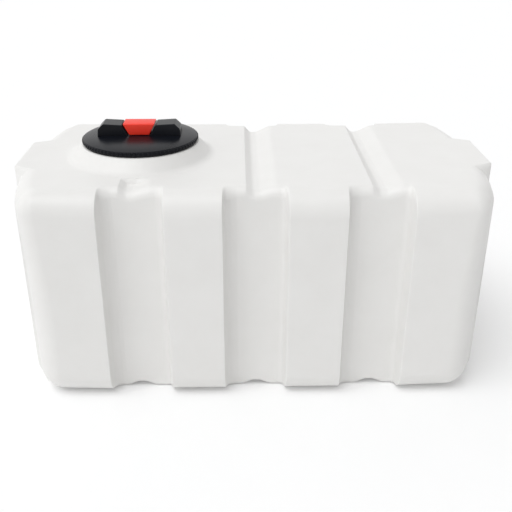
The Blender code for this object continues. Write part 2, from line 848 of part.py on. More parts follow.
screen_slots = prism(
    "screen_slots",
    star(SCREEN_SLOTS, SCREEN_RADIUS / 2, SCREEN_RADIUS * 1.5, SCREEN_SLOT_WIDTH),
    screen_low + SCREEN_WALL * 2,
    screen_top - 0.0075,
    cutters,
    lid_at,
)
combine(screen, "DIFFERENCE", screen_slots)
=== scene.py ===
import math

import bpy
from mathutils import Matrix, Vector


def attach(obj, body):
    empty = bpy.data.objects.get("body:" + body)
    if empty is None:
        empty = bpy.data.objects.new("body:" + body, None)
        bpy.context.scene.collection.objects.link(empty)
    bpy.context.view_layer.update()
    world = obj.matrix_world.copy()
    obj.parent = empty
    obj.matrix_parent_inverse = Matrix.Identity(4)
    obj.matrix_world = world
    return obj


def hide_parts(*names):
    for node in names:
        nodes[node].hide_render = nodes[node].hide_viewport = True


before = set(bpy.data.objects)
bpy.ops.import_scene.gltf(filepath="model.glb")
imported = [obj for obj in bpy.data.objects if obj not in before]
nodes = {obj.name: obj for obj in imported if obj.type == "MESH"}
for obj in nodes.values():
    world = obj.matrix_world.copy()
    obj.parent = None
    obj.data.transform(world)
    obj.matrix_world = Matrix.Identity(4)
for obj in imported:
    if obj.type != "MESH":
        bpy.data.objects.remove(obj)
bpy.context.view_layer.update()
print("frame loaded,", len(nodes), "nodes")


# small helpers around the operators

def toObjectMode():
    if bpy.context.mode != "OBJECT":
        bpy.ops.object.mode_set(mode="OBJECT")


def selectNothing():
    toObjectMode()
    bpy.ops.object.select_all(action="DESELECT")


def onlyThis(obj):
    selectNothing()
    obj.select_set(True)
    bpy.context.view_layer.objects.active = obj


def startEdit(obj, kind="VERT"):
    onlyThis(obj)
    bpy.ops.object.mode_set(mode="EDIT")
    bpy.ops.mesh.select_mode(type=kind)


def pickVerts(obj, test):
    # leaves edit mode to set the flags, and comes back to it
    bpy.ops.object.mode_set(mode="OBJECT")
    mesh = obj.data
    for vert in mesh.vertices:
        vert.select = bool(test(vert.co))
    for edge in mesh.edges:
        edge.select = all(mesh.vertices[i].select for i in edge.vertices)
    for face in mesh.polygons:
        face.select = all(mesh.vertices[i].select for i in face.vertices)
    bpy.ops.object.mode_set(mode="EDIT")


def pickEdges(obj, test):
    bpy.ops.object.mode_set(mode="OBJECT")
    mesh = obj.data
    for face in mesh.polygons:
        face.select = False
    for vert in mesh.vertices:
        vert.select = False
    for edge in mesh.edges:
        a, b = (mesh.vertices[i].co for i in edge.vertices)
        edge.select = bool(test(a, b))
    bpy.ops.object.mode_set(mode="EDIT")


def addModifier(obj, kind, **settings):
    onlyThis(obj)
    bpy.ops.object.modifier_add(type=kind)
    modifier = obj.modifiers[-1]
    for key, value in settings.items():
        setattr(modifier, key, value)
    bpy.ops.object.modifier_apply(modifier=modifier.name)


def carve(obj, tools, operation="DIFFERENCE"):
    # the tools are used up by it
    for tool in tools:
        addModifier(obj, "BOOLEAN", operation=operation, solver="MANIFOLD", object=tool)
        bpy.data.objects.remove(tool, do_unlink=True)


def joinInto(obj, others):
    selectNothing()
    for other in others:
        other.select_set(True)
    obj.select_set(True)
    bpy.context.view_layer.objects.active = obj
    bpy.ops.object.join()


def faceOutwards(obj):
    startEdit(obj)
    bpy.ops.mesh.select_all(action="SELECT")
    bpy.ops.mesh.remove_doubles(threshold=0.00001)
    bpy.ops.mesh.normals_make_consistent(inside=False)
    toObjectMode()


def smoothOver(obj, degrees=35):
    onlyThis(obj)
    bpy.ops.object.shade_smooth_by_angle(angle=math.radians(degrees))


def settle(obj, name, material, body, slotName, *replaced):
    # place goes into the mesh, then the piece joins its CAD body
    onlyThis(obj)
    bpy.ops.object.transform_apply(location=True, rotation=True, scale=True)
    obj.name = name
    obj.data.materials.clear()
    obj.data.materials.append(material)
    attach(obj, body)
    if replaced:
        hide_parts(*replaced)


def softOutline(corners, steps=5):
    # corners are (radius, height, round), and each gets an arc of its own round
    outline = []
    count = len(corners)
    for i, (radius, height, turn) in enumerate(corners):
        if turn == 0:
            outline.append((radius, height))
            continue
        here = Vector((radius, height))
        before = (Vector(corners[i - 1][:2]) - here).normalized()
        after = (Vector(corners[(i + 1) % count][:2]) - here).normalized()
        half = before.angle(after) / 2
        first = here + before * (turn / math.tan(half))
        last = here + after * (turn / math.tan(half))
        middle = here + (before + after).normalized() * (turn / math.sin(half))
        for step in range(steps + 1):
            blend = (first - middle).slerp(last - middle, step / steps)
            outline.append(tuple(middle + blend.normalized() * turn))
    return outline


def turnPiece(outline, at, steps, along="Z", closed=True):
    # the outline is drawn point by point and spun; heights run up, or outwards to -X for the outlet
    def spot(radius, height):
        return Vector(at) + (Vector((radius, 0, height)) if along == "Z" else Vector((-height, 0, radius)))

    selectNothing()
    bpy.ops.mesh.primitive_plane_add(size=0.02, location=(0, 0, 0))
    obj = bpy.context.object
    bpy.ops.object.mode_set(mode="EDIT")
    bpy.ops.mesh.select_mode(type="VERT")
    bpy.ops.mesh.merge(type="CENTER")
    bpy.ops.transform.translate(value=spot(*outline[0]))
    for start, end in zip(outline, outline[1:]):
        bpy.ops.mesh.extrude_vertices_move(TRANSFORM_OT_translate={"value": spot(*end) - spot(*start)})
    if closed:
        ends = (spot(*outline[0]), spot(*outline[-1]))
        pickVerts(obj, lambda co: min((co - end).length for end in ends) < 0.000002)
        bpy.ops.mesh.edge_face_add()
    bpy.ops.mesh.select_all(action="SELECT")
    axis = (0, 0, 1) if along == "Z" else (-1, 0, 0)
    bpy.ops.mesh.spin(steps=steps, angle=2 * math.pi, center=at, axis=axis)
    bpy.ops.mesh.select_all(action="SELECT")
    bpy.ops.mesh.remove_doubles(threshold=0.000004)
    bpy.ops.mesh.normals_make_consistent(inside=False)
    toObjectMode()
    return obj


def raiseBlock(levels):
    # a rectangle raised through levels of (height, low x, high x, half depth)
    height, low, high, half = levels[0]
    selectNothing()
    bpy.ops.mesh.primitive_plane_add(size=1, location=((low + high) / 2, 0, height))
    obj = bpy.context.object
    bpy.ops.object.mode_set(mode="EDIT")
    bpy.ops.mesh.select_mode(type="VERT")
    bpy.ops.transform.resize(value=(high - low, 2 * half, 1), center_override=((low + high) / 2, 0, height))
    for nextHeight, nextLow, nextHigh, nextHalf in levels[1:]:
        bpy.ops.mesh.extrude_region_move(
            TRANSFORM_OT_translate={"value": ((nextLow + nextHigh - low - high) / 2, 0, nextHeight - height)}
        )
        bpy.ops.transform.resize(
            value=((nextHigh - nextLow) / (high - low), nextHalf / half, 1),
            center_override=((nextLow + nextHigh) / 2, 0, nextHeight),
        )
        height, low, high, half = nextHeight, nextLow, nextHigh, nextHalf
    toObjectMode()
    onlyThis(obj)
    bpy.ops.object.transform_apply(location=True, rotation=True, scale=True)
    faceOutwards(obj)
    return obj


# tank body

tank = {
    "length": 1.200,
    "bowedLength": 1.184,  # without the end pads
    "depth": 0.631,
    "height": 0.549,
    "wall": 0.006,
    "edgeRound": 0.058,
    "endTopRound": 0.049,
    "endBaseRound": 0.066,
    "bow": 0.049,
    "bowPower": 2.4,
    "padWidth": 0.243,
    "padFlank": (0.028, 0.013, 0.006, 0.008),  # run, drop, lip and foot rounds
    "padRound": 0.005,
    "channelAt": (-0.290, -0.001, 0.290),
    "grooveAt": (-0.296, 0.001, 0.297),
    "channelMouth": 0.158,
    "channelDepth": 0.048,
    "channelLeft": (0.034, 0.0025, 0.028),  # flank, lip and foot rounds
    "channelRight": (0.0225, 0.003, 0.015),
    "channelRound": 0.024,
    "channelBaseRound": 0.010,
    "grooveDepth": 0.0145,
    "grooveFall": 0.85,  # deeper to the back by this share for each metre
    "grooveLeft": (0.0255, 0.023, 0.003, 0.014),  # reach, flank, lip and foot rounds: steep side
    "grooveRight": (0.054, 0.050, 0.036, 0.026),  # soft side
    "baseGrooveDepth": 0.011,
    "baseGroove": (0.040, 0.034, 0.022, 0.020),
    "leastRound": 0.004,
    "roundSteps": 6,
    "lineBefore": 0.004,  # cuts that hold the flat beside a flank
    "lineAfter": 0.002,
    "linesAcross": (  # closest together where the left groove runs out at the dome
        0.06, 0.15, 0.17, 0.184, 0.188, 0.192, 0.196, 0.200, 0.204, 0.208, 0.214, 0.220, 0.228, 0.242
    ),
}
dome = {
    "x": -0.2935,
    "foot": 0.197,
    "slopeFoot": 0.1824,
    "land": 0.150,
    "rise": 0.0335,
    "landThickness": 0.012,
    "lipRound": 0.004,
    "footRound": 0.030,
    "grooveFade": 0.008,  # the left groove runs out over this at the dome
    "neckRadius": 0.1336,
    "lift": 0.0001,  # keeps the dome's foot clear of the flat top
    "root": 0.004,
    "insideLand": 0.146,
    "insideFoot": 0.172,
    "insideDrop": 0.003,
    "insideSteps": 96,
    "steps": 160,
}
outlet = {
    "height": 0.085,
    "pocketRadius": 0.040,
    "pocketDepth": 0.020,
    "pocketRound": 0.005,
    "pocketFloorRound": 0.004,
    "pocketDraft": 0.001,
    "pocketMouth": 0.054,  # of the cutter, outside the tank
    "bossStart": 0.002,
    "bossWall": 0.007,
    "bossFloor": 0.022,
    "bushRadius": 0.0175,
    "bushCollar": 0.0195,
    "bushCollarHalf": 0.0025,
    "bushCollarSlope": 0.001,
    "bushBore": 0.0132,
    "bushRound": 0.0006,
    "bushMouthRound": 0.0008,
    "headRadius": 0.0172,
    "headHeight": 0.010,
    "headRound": 0.0012,
    "dish": (0.0095, 0.0088, 0.0025),  # mouth and floor radius, depth
    "shankRadius": 0.0128,
    "shankLength": 0.0185,
    "shankRound": 0.001,
    "sealThickness": 0.002,
    "plugSteps": 64,
    "steps": 96,
}
gap = 0.0003
past = 0.004  # how far a cutter reaches past what it cuts
touch = 0.001  # slack when points are picked by their place
tankTop = tank["height"]
landZ = tankTop + dome["rise"]
outletAt = (-tank["length"] / 2, 0, outlet["height"])


def ease(value):
    value = min(max(value, 0.0), 1.0)
    return value * value * (3 - 2 * value)


def flankSection(width, drop, lip, foot, steps=4):
    # a round over the lip, a straight flank and a round into the floor, as (run, drop)
    low, high = 0.05, 1.56
    for _ in range(60):
        slope = (low + high) / 2
        straight = (drop - (lip + foot) * (1 - math.cos(slope))) / math.sin(slope)
        if (lip + foot) * math.sin(slope) + straight * math.cos(slope) > width:
            low = slope
        else:
            high = slope
    points = []
    for step in range(steps + 1):
        angle = slope * step / steps
        points.append((lip * math.sin(angle), lip * (1 - math.cos(angle))))
    for step in range(steps, -1, -1):
        angle = slope * step / steps
        points.append((width - foot * math.sin(angle), drop - foot * (1 - math.cos(angle))))
    return points


def dropAt(section, run):
    if run <= 0:
        return 0.0
    for (runA, dropA), (runB, dropB) in zip(section, section[1:]):
        if run <= runB:
            return dropA + (dropB - dropA) * (run - runA) / max(runB - runA, 1e-9)
    return section[-1][1]


channels = {}  # side to the section of that wall
grooves = {}  # (side, height side) to the reach and the section of that flank
for side, name in ((-1, "Left"), (1, "Right")):
    flank, lip, foot = tank["channel" + name]
    channels[side] = flankSection(flank, tank["channelDepth"], lip, foot)
    reach, flank, lip, foot = tank["groove" + name]
    grooves[side, 1] = (reach, flankSection(flank, tank["grooveDepth"], lip, foot))
    reach, flank, lip, foot = tank["baseGroove"]
    grooves[side, -1] = (reach, flankSection(flank, tank["baseGrooveDepth"], lip, foot))
padSection = flankSection(*tank["padFlank"])


def spread(lines, closest=0.0007):
    kept = []
    for line in sorted(lines):
        if not kept or line - kept[-1] > closest:
            kept.append(line)
    if len(kept) % 2 == 0:  # an odd count of lines lets the cube be cut in halves first
        gaps = [after - before for before, after in zip(kept, kept[1:])]
        widest = gaps.index(max(gaps))
        kept.insert(widest + 1, (kept[widest] + kept[widest + 1]) / 2)
    return kept


def withRounds(lines):
    shares = [math.tan(math.pi / 4 * k / tank["roundSteps"]) for k in range(tank["roundSteps"], -1, -1)]
    return [(-1, s) for s in shares] + [(0, line) for line in lines] + [(1, s) for s in reversed(shares)]


def skinLines(inset):
    acrossX = []
    flanks = []
    for side in (-1, 1):
        flanks += [(centre, side, tank["channelMouth"] / 2, channels[side]) for centre in tank["channelAt"]]
        flanks += [(centre, side, *grooves[side, level]) for centre in tank["grooveAt"] for level in (-1, 1)]
    for centre, side, reach, section in flanks:
        edge = reach + inset
        aways = [edge - run for run, drop in section]
        aways += [edge + tank["lineBefore"], edge - section[-1][0] - tank["lineAfter"]]
        acrossX += [centre + side * away for away in aways]
    acrossY = []
    padEdge = tank["padWidth"] / 2 - inset
    for run, drop in padSection:
        acrossY += [-(padEdge - run), padEdge - run]
    for away in tank["linesAcross"]:
        acrossY += [-away, away]
    return withRounds(spread(acrossX)), withRounds(spread(acrossY)), withRounds([tankTop / 2])


def skinPoint(lineX, lineY, lineZ, inset):
    # a box with rounded edges, whose half sizes and round depend on where the lines cross it
    x = lineX[1] if lineX[0] == 0 else lineX[0] * tank["bowedLength"] / 2
    y = lineY[1] if lineY[0] == 0 else lineY[0] * tank["depth"] / 2
    channel = groove = baseGroove = pad = 0.0
    if lineX[0] == 0:
        offset = min((x - centre for centre in tank["channelAt"]), key=abs)
        side = -1 if offset < 0 else 1
        channel = dropAt(channels[side], tank["channelMouth"] / 2 + inset - abs(offset))
        offset = min((x - centre for centre in tank["grooveAt"]), key=abs)
        side = -1 if offset < 0 else 1
        (topReach, topSection), (baseReach, baseSection) = grooves[side, 1], grooves[side, -1]
        groove = dropAt(topSection, topReach + inset - abs(offset))
        baseGroove = dropAt(baseSection, baseReach + inset - abs(offset))
    if lineY[0] == 0:
        pad = dropAt(padSection, tank["padWidth"] / 2 - inset - abs(y)) / padSection[-1][1]
    fromDome = math.hypot(x - dome["x"], y) - dome["foot"]
    nearDome = 1.0 if lineY[0] else ease(fromDome / dome["grooveFade"])
    reach = min(abs(y), (tank["depth"] - tank["edgeRound"]) / 2) / (tank["depth"] / 2)
    bowed = tank["bowedLength"] / 2 - tank["bow"] * reach ** tank["bowPower"]
    halfX = bowed + (tank["length"] / 2 - bowed) * pad - inset
    halfY = tank["depth"] / 2 - channel - inset
    top = tankTop - groove * nearDome * (1 + tank["grooveFall"] * y) - inset
    bottom = baseGroove + inset
    edge = tank["edgeRound"]
    if lineX[0] != 0:
        edge = tank["endTopRound"] if lineZ[0] > 0 else tank["endBaseRound"]
    inChannel = tank["channelRound"] if lineZ[0] > 0 else tank["channelBaseRound"]
    bend = edge + (inChannel - edge) * channel / tank["channelDepth"]
    bend = max(bend + (tank["padRound"] - bend) * pad - inset, tank["leastRound"])
    start, core = [], []
    for line, low, high in ((lineX, -halfX, halfX), (lineY, -halfY, halfY), (lineZ, bottom, top)):
        value = line[1]
        if line[0] < 0:
            value = low + bend - bend * line[1]
        elif line[0] > 0:
            value = high - bend + bend * line[1]
        start.append(value)
        core.append(min(max(value, low + bend), high - bend))
    core = Vector(core)
    return core + (Vector(start) - core).normalized() * bend


def skinMesh(inset):
    # a cube cut along the lines, each point then drawn onto the moulded surface
    lines = skinLines(inset)
    counts = [len(one) - 1 for one in lines]
    selectNothing()
    bpy.ops.mesh.primitive_cube_add(size=1, location=(0, 0, 0))
    obj = bpy.context.object
    bpy.ops.object.mode_set(mode="EDIT")
    bpy.ops.mesh.select_mode(type="EDGE")
    bpy.ops.transform.translate(value=(0.5, 0.5, 0.5))
    bpy.ops.transform.resize(value=counts, center_override=(0, 0, 0))
    for axis, count in enumerate(counts):
        for cuts in (1, count // 2 - 1):  # in two goes, as one go stops at 100 cuts
            pickEdges(obj, lambda a, b: abs(a[axis] - b[axis]) > 0.5)
            bpy.ops.mesh.subdivide(number_cuts=cuts)
    toObjectMode()
    for vert in obj.data.vertices:
        picked = [lines[axis][round(vert.co[axis])] for axis in range(3)]
        vert.co = skinPoint(*picked, inset)
    faceOutwards(obj)
    return obj


body = skinMesh(0.0)
domeTop = turnPiece(
    softOutline([
        (0, landZ, 0),
        (dome["land"], landZ, dome["lipRound"]),
        (dome["slopeFoot"], tankTop + dome["lift"], dome["footRound"]),
        (dome["foot"], tankTop + dome["lift"], 0),
        (dome["foot"], tankTop - dome["root"], 0),
        (0, tankTop - dome["root"], 0),
    ], 8),
    (dome["x"], 0, 0), dome["steps"], closed=False,
)
carve(body, [domeTop], "UNION")
print("body skin and dome,", len(body.data.polygons), "faces")

hollow = skinMesh(tank["wall"])
bushFace = -outlet["pocketDepth"]
bossBack = bushFace - outlet["bossFloor"]
bossOuter = outlet["pocketRadius"] + outlet["bossWall"]
boss = turnPiece(
    [(0, -outlet["bossStart"]), (bossOuter, -outlet["bossStart"]), (bossOuter, bossBack), (0, bossBack)],
    outletAt, outlet["plugSteps"], "X", False,
)
carve(hollow, [boss])
insideTop = landZ - dome["landThickness"]
insideBase = tankTop - tank["wall"] - dome["insideDrop"]
domeInside = turnPiece(
    [(0, insideTop), (dome["insideLand"], insideTop), (dome["insideFoot"], insideBase), (0, insideBase)],
    (dome["x"], 0, 0), dome["insideSteps"], closed=False,
)
neckHole = turnPiece(
    [(0, landZ + past), (dome["neckRadius"], landZ + past), (dome["neckRadius"], tankTop), (0, tankTop)],
    (dome["x"], 0, 0), dome["steps"], closed=False,
)
pocket = turnPiece(
    softOutline([
        (0, 3 * past, 0),
        (outlet["pocketMouth"], 3 * past, 0),
        (outlet["pocketMouth"], 0.0, 0),
        (outlet["pocketRadius"], 0.0, outlet["pocketRound"]),
        (outlet["pocketRadius"] - outlet["pocketDraft"], bushFace, outlet["pocketFloorRound"]),
        (0, bushFace, 0),
    ], 5),
    outletAt, outlet["steps"], "X", False,
)
bushRoom = outlet["bushRadius"] + gap
bushHole = turnPiece(
    [(0, bushFace + past), (bushRoom, bushFace + past), (bushRoom, bossBack - past), (0, bossBack - past)],
    outletAt, outlet["steps"], "X", False,
)
carve(body, [hollow, domeInside, neckHole, pocket, bushHole])
smoothOver(body, 32)
addModifier(body, "WEIGHTED_NORMAL", weight=100, keep_sharp=True)
print("body hollowed,", len(body.data.polygons), "faces")


# lid

lid = {
    "radius": 0.149,
    "rimHeight": 0.0075,
    "plate": 0.004,
    "crown": 0.0065,
    "crownFlat": 0.030,
    "crownEdge": 0.0065,  # from the rim to where the crown ends
    "crownPower": 4,
    "crownSteps": 16,
    "rimWall": 0.004,
    "rimGap": 0.001,
    "rimInset": 0.0030,
    "rimEdge": 0.0009,
    "rimRound": 0.0016,
    "rimLip": 0.0030,  # height of the plain edge above the ribs
    "rimStep": 0.0005,
    "rimSlant": 0.0004,
    "ribs": 84,
    "ribDepth": 0.0025,
    "ribRoot": 0.0037,
    "ribChamfer": 0.0005,
    "ribHang": 0.0014,  # below the rim
    "ribTop": 0.0024,
    "plugRadius": 0.1242,
    "plugWall": 0.003,
    "plugDepth": 0.026,
    "plugRound": 0.0008,
    "ceilingRound": 0.0010,
    "gasketOuter": 0.1352,
    "gasketRoom": 0.001,
    "gasketThickness": 0.0025,
    "ventHole": 0.009,
    "ventSeat": 0.0165,
    "ventSeatDepth": 0.002,
    "screenRadius": 0.0215,
    "screenRim": (0.003, 0.006),  # wall and height
    "steps": 168,
}
neck = {"sealThickness": 0.0015, "flange": 0.004}
thread = {
    "pitch": 0.010,
    "turns": 1.25,
    "depth": 0.0038,
    "root": 0.0012,
    "halfBase": 0.0020,
    "halfCrest": 0.0010,
    "below": 0.027,  # from the collar's top to the lowest point
    "steps": 120,
}
grip = {
    "length": 0.213,
    "topLength": 0.182,
    "width": 0.058,
    "topWidth": 0.054,
    "height": 0.0295,
    "shoulder": 0.55,
    "shoulderIn": (0.002, 0.001),
    "wall": 0.006,
    "round": 0.0020,
    "dip": 0.0025,
}
cap = {
    "width": 0.051,
    "topWidth": 0.082,
    "depth": 0.056,
    "topDepth": 0.052,
    "round": 0.003,
    "gap": 0.003,
    "foot": 0.0005,
    "stemRoom": (0.0045, 0.0143),  # radius and depth
    "stemSteps": 32,
}
collarZ = landZ + neck["sealThickness"] + 2 * gap + neck["flange"]
rimZ = collarZ + lid["rimGap"]
lidZ = rimZ + lid["rimHeight"]
plateZ = lidZ - lid["plate"]
crownZ = lidZ + lid["crown"]
ceilingZ = lidZ - lid["plate"] / 2
seatZ = collarZ + lid["gasketThickness"] + 2 * gap
gripTop = crownZ + grip["height"]

crownCurve = []
crownEdge = lid["radius"] - lid["crownEdge"]
for step in range(lid["crownSteps"] + 1):
    share = step / lid["crownSteps"]
    radius = lid["crownFlat"] + (crownEdge - lid["crownFlat"]) * share
    crownCurve.append((radius, lidZ + lid["crown"] * (1 - share ** lid["crownPower"]), 0))
rimOuter = lid["radius"] - lid["rimInset"]
rimCore = rimOuter - lid["rimStep"]
rimInner = lid["radius"] - lid["rimWall"]
stepZ = lidZ - lid["rimLip"]
gasketEdge = lid["gasketOuter"] + lid["gasketRoom"]
plugInner = lid["plugRadius"] - lid["plugWall"]
plugZ = collarZ - lid["plugDepth"]
ventSeatZ = crownZ - lid["ventSeatDepth"]
screenInner = lid["screenRadius"] + gap
screenOuter = lid["screenRadius"] + lid["screenRim"][0]
screenZ = ceilingZ - lid["screenRim"][1]
lidDisc = turnPiece(
    softOutline(
        [(lid["ventHole"], ventSeatZ, 0), (lid["ventSeat"], ventSeatZ, 0), (lid["ventSeat"], crownZ, 0)]
        + crownCurve
        + [
            (rimOuter, lidZ - lid["rimEdge"], lid["rimRound"]),
            (rimOuter, stepZ, lid["rimStep"]),
            (rimCore, stepZ - lid["rimSlant"], 0),
            (rimCore, rimZ, 0),
            (rimInner, rimZ, 0),
            (rimInner, plateZ, 0),
            (gasketEdge, plateZ, 0),
            (gasketEdge, seatZ, 0),
            (lid["plugRadius"], seatZ, 0),
            (lid["plugRadius"], plugZ, lid["plugRound"]),
            (plugInner, plugZ, lid["plugRound"]),
            (plugInner, ceilingZ, lid["ceilingRound"]),
            (screenOuter, ceilingZ, 0),
            (screenOuter, screenZ, 0),
            (screenInner, screenZ, 0),
            (screenInner, ceilingZ, 0),
            (lid["ventHole"], ceilingZ, 0),
        ], 4),
    (dome["x"], 0, 0), lid["steps"],
)

# ribs round the rim: one ring whose radius rises and falls, raised in steps
ribLow, ribHigh = rimZ - lid["ribHang"], lidZ - lid["ribTop"]
ribRoot = lid["radius"] - lid["ribRoot"]
ribShape = (0, 0, 0, 0.35, 1, 1, 1, 0.35)  # depth round one rib and its valley
ribRises = (  # scale and rise: out to the chamfer, up the face, and back in
    (1.0215, 0.0),
    (1.0040, lid["ribChamfer"]),
    (1.0, ribHigh - ribLow - 2 * lid["ribChamfer"]),
    (0.9955, lid["ribChamfer"]),
    (0.9795, 0.0),
)
selectNothing()
bpy.ops.mesh.primitive_circle_add(vertices=lid["ribs"] * len(ribShape), radius=ribRoot, location=(0, 0, 0))
ribRing = bpy.context.object
bpy.ops.object.mode_set(mode="EDIT")
bpy.ops.mesh.select_mode(type="VERT")
for scale, rise in ribRises:
    bpy.ops.mesh.extrude_region_move(TRANSFORM_OT_translate={"value": (0, 0, rise)})
    bpy.ops.transform.resize(value=(scale, scale, 1), center_override=(0, 0, 0))
toObjectMode()
for vert in ribRing.data.vertices:
    flat = Vector((vert.co.x, vert.co.y))
    if flat.length < ribRoot + lid["ribDepth"] / 2:  # the inside stays round
        continue
    place = math.atan2(flat.y, flat.x) / (2 * math.pi) * lid["ribs"] % 1 * len(ribShape)
    deep = ribShape[round(place) % len(ribShape)] * lid["ribDepth"]
    flat = flat.normalized() * (flat.length - deep)
    vert.co.x, vert.co.y = flat
startEdit(ribRing, "EDGE")
bpy.ops.mesh.select_all(action="DESELECT")
bpy.ops.mesh.select_non_manifold()
bpy.ops.mesh.bridge_edge_loops()
toObjectMode()
ribRing.location = (dome["x"], 0, ribLow)
onlyThis(ribRing)
bpy.ops.object.transform_apply(location=True, rotation=True, scale=True)
faceOutwards(ribRing)


def capHalf(height):
    return cap["width"] / 2 + (cap["topWidth"] - cap["width"]) / 2 * (height - crownZ) / grip["height"]


gripFoot = lidZ - lid["plate"] / 4
shoulderZ = crownZ + grip["height"] * grip["shoulder"]
blocks = []
for side in (-1, 1):
    levels = []
    for height, far, half in (
        (gripFoot, grip["length"] / 2, grip["width"] / 2),
        (shoulderZ, grip["length"] / 2 - grip["shoulderIn"][0], grip["width"] / 2 - grip["shoulderIn"][1]),
        (gripTop, grip["topLength"] / 2, grip["topWidth"] / 2),
    ):
        near = capHalf(height) + cap["gap"]
        ends = sorted((dome["x"] + side * far, dome["x"] + side * near))
        levels.append((height, ends[0], ends[1], half))
    block = raiseBlock(levels)
    startEdit(block)
    pickVerts(block, lambda co: co.z > gripTop - touch and abs(co.x - dome["x"]) < grip["topLength"] / 3)
    bpy.ops.transform.translate(value=(0, 0, -grip["dip"]))  # the top falls towards the vent cap
    bpy.ops.mesh.select_mode(type="EDGE")
    pickEdges(block, lambda a, b: max(a.z, b.z) > gripFoot + touch)
    bpy.ops.mesh.bevel(offset=grip["round"], segments=4, profile=0.5, affect="EDGES")
    toObjectMode()
    blocks.append(block)
carve(lidDisc, [ribRing] + blocks, "UNION")
print("lid with ribs and grip,", len(lidDisc.data.polygons), "faces")

# hollow under each block, then the screw ridge on the plug
hollows = []
for side in (-1, 1):
    near = capHalf(gripTop) + cap["gap"] + grip["wall"]
    far = grip["topLength"] / 2 - grip["wall"]
    ends = sorted((dome["x"] + side * near, dome["x"] + side * far))
    half = grip["topWidth"] / 2 - grip["wall"]
    hollows.append(raiseBlock([(ceilingZ - past, *ends, half), (gripTop - grip["wall"], *ends, half)]))
carve(lidDisc, hollows)

threadFoot = collarZ - thread["below"] + 2 * thread["halfBase"]
selectNothing()
bpy.ops.mesh.primitive_plane_add(size=1, location=(0, 0, 0), rotation=(math.pi / 2, 0, 0))
ridge = bpy.context.object
bpy.ops.object.transform_apply(location=True, rotation=True, scale=True)
ridgeBase = lid["plugRadius"] - thread["root"]
ridgeCrest = lid["plugRadius"] + thread["depth"]
for vert in ridge.data.vertices:
    outside = vert.co.x > 0
    half = thread["halfCrest"] if outside else thread["halfBase"]
    vert.co = (ridgeCrest if outside else ridgeBase, 0, half if vert.co.z > 0 else -half)
addModifier(
    ridge, "SCREW", angle=2 * math.pi * thread["turns"], screw_offset=thread["pitch"] * thread["turns"],
    steps=thread["steps"], render_steps=thread["steps"],
)
ridge.location = (dome["x"], 0, threadFoot)
onlyThis(ridge)
bpy.ops.object.transform_apply(location=True, rotation=True, scale=True)
startEdit(ridge)
bpy.ops.mesh.select_all(action="SELECT")
bpy.ops.mesh.fill_holes(sides=4)
faceOutwards(ridge)
joinInto(lidDisc, [ridge])
smoothOver(lidDisc, 30)
addModifier(lidDisc, "WEIGHTED_NORMAL", weight=60, keep_sharp=True)
print("lid finished,", len(lidDisc.data.polygons), "faces")


# vent cap between the blocks

capFoot = crownZ + cap["foot"]
ventCap = raiseBlock([
    (capFoot, dome["x"] - cap["width"] / 2, dome["x"] + cap["width"] / 2, cap["depth"] / 2),
    (gripTop, dome["x"] - cap["topWidth"] / 2, dome["x"] + cap["topWidth"] / 2, cap["topDepth"] / 2),
])
startEdit(ventCap, "EDGE")
bpy.ops.mesh.select_all(action="SELECT")
bpy.ops.mesh.bevel(offset=cap["round"], segments=5, profile=0.5, affect="EDGES")
toObjectMode()
stemRadius, stemDepth = cap["stemRoom"]
stemTop, stemBase = capFoot + stemDepth, capFoot - past
stemRoom = turnPiece(
    [(0, stemTop), (stemRadius, stemTop), (stemRadius, stemBase), (0, stemBase)],
    (dome["x"], 0, 0), cap["stemSteps"], closed=False,
)
carve(ventCap, [stemRoom])
smoothOver(ventCap, 30)
print("vent cap")


# outlet bush and plug

bushMiddle = bushFace - outlet["bossFloor"] / 2
collarFoot = outlet["bushCollarHalf"] + outlet["bushCollarSlope"]
bush = turnPiece(
    softOutline([
        (outlet["bushBore"], bushFace, outlet["bushMouthRound"]),
        (outlet["bushRadius"], bushFace, outlet["bushRound"]),
        (outlet["bushRadius"], bushMiddle + collarFoot, 0),
        (outlet["bushCollar"], bushMiddle + outlet["bushCollarHalf"], 0),
        (outlet["bushCollar"], bushMiddle - outlet["bushCollarHalf"], 0),
        (outlet["bushRadius"], bushMiddle - collarFoot, 0),
        (outlet["bushRadius"], bossBack, outlet["bushRound"]),
        (outlet["bushBore"], bossBack, outlet["bushRound"]),
    ], 4),
    outletAt, outlet["steps"], "X",
)
smoothOver(bush, 30)
headBack = bushFace + gap + outlet["sealThickness"] + gap
headFront = headBack + outlet["headHeight"]
selectNothing()
bpy.ops.mesh.primitive_cylinder_add(
    vertices=6, radius=outlet["headRadius"], depth=outlet["headHeight"], rotation=(0, -math.pi / 2, 0),
    location=(outletAt[0] - (headBack + headFront) / 2, 0, outlet["height"]),
)
plug = bpy.context.object
bpy.ops.object.transform_apply(location=True, rotation=True, scale=True)
startEdit(plug, "EDGE")
bpy.ops.mesh.select_all(action="SELECT")
bpy.ops.mesh.bevel(offset=outlet["headRound"], segments=4, profile=0.5, affect="EDGES")
toObjectMode()
dishMouth, dishFloor, dishDepth = outlet["dish"]
plugDish = turnPiece(
    softOutline([
        (0, headFront + past / 2, 0),
        (dishMouth, headFront + past / 2, 0),
        (dishFloor, headFront - dishDepth, outlet["headRound"]),
        (0, headFront - dishDepth, 0),
    ], 4),
    outletAt, outlet["plugSteps"], "X", False,
)
carve(plug, [plugDish])
shankEnd = headBack - outlet["shankLength"]
shank = turnPiece(
    softOutline([
        (0, headBack + past, 0),
        (outlet["shankRadius"], headBack + past, 0),
        (outlet["shankRadius"], shankEnd, outlet["shankRound"]),
        (0, shankEnd, 0),
    ], 4),
    outletAt, outlet["plugSteps"], "X", False,
)
carve(plug, [shank], "UNION")
smoothOver(plug, 30)
print("outlet bush and plug")


# shader groups that several finishes share

